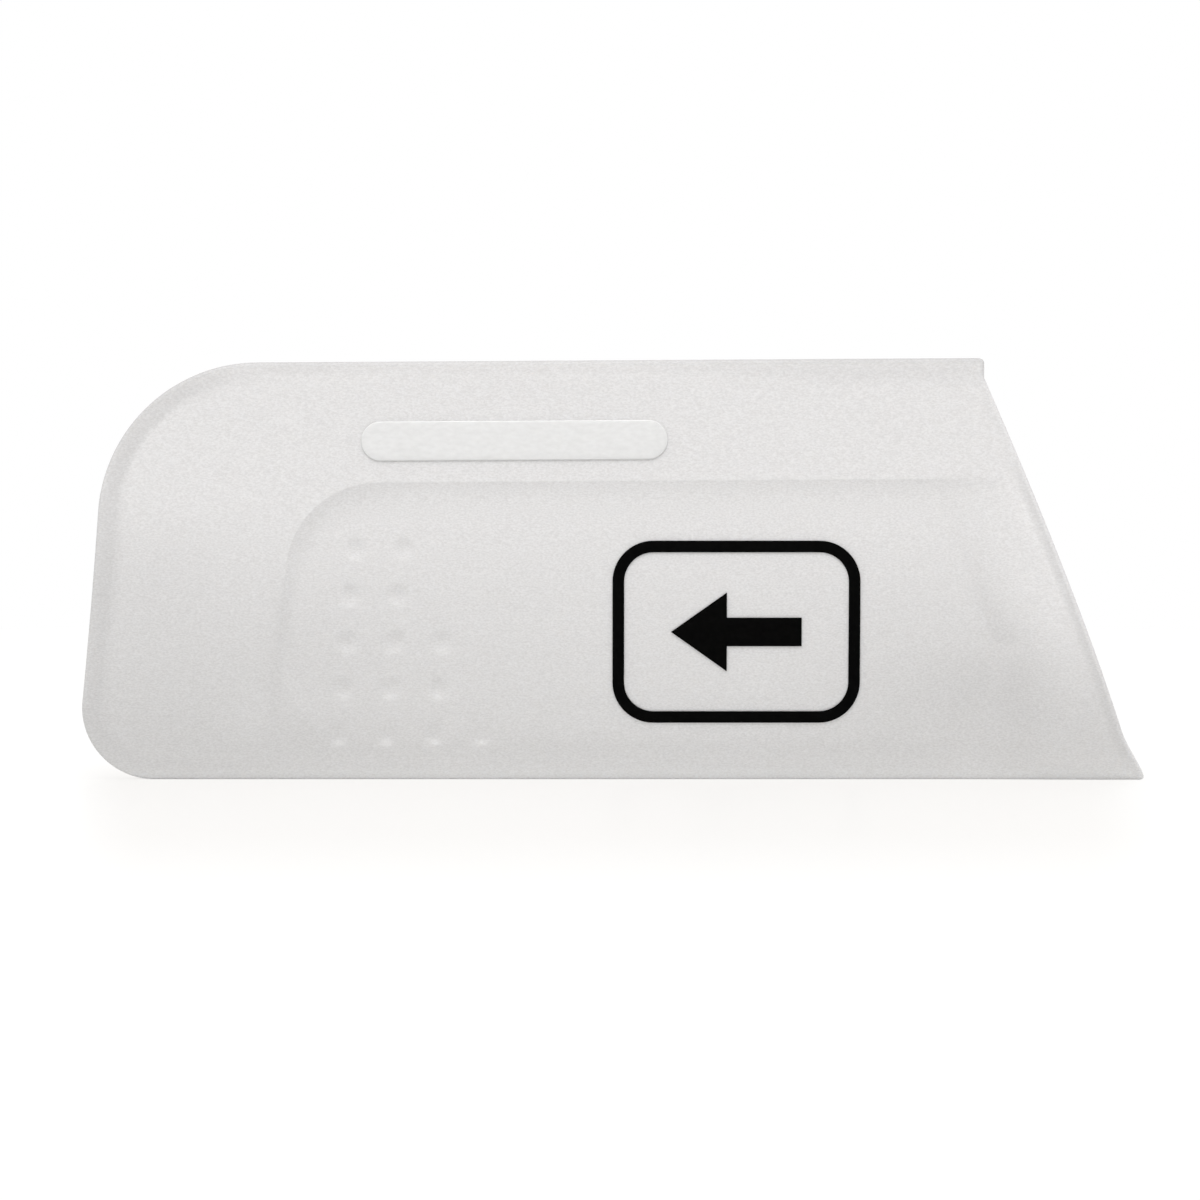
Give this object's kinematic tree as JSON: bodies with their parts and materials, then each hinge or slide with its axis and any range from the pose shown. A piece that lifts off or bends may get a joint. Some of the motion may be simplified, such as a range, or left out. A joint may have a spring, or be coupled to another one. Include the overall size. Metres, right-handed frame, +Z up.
{
  "type": "blade guard",
  "caption": "Hollow slide-on sheath for a short knife blade, with a rounded closed back, a raked open mouth and a dimpled grip recess on both sides.",
  "frame": {"origin": "centre of the outline on the surface that the guard's long lower edge rests on", "axes": "+X along the guard toward its open mouth, +Y through its thickness away from the printed front, +Z up"},
  "size_m": [0.0782, 0.0161, 0.031],
  "materials": {
    "frosted_plastic": "frosted, fine grained, slightly translucent",
    "ink": "matt black print"
  },
  "bodies": {
    "root": {"front_shell": "frosted_plastic", "rear_shell": "frosted_plastic", "printed_mark": "ink"}
  },
  "joints": []
}
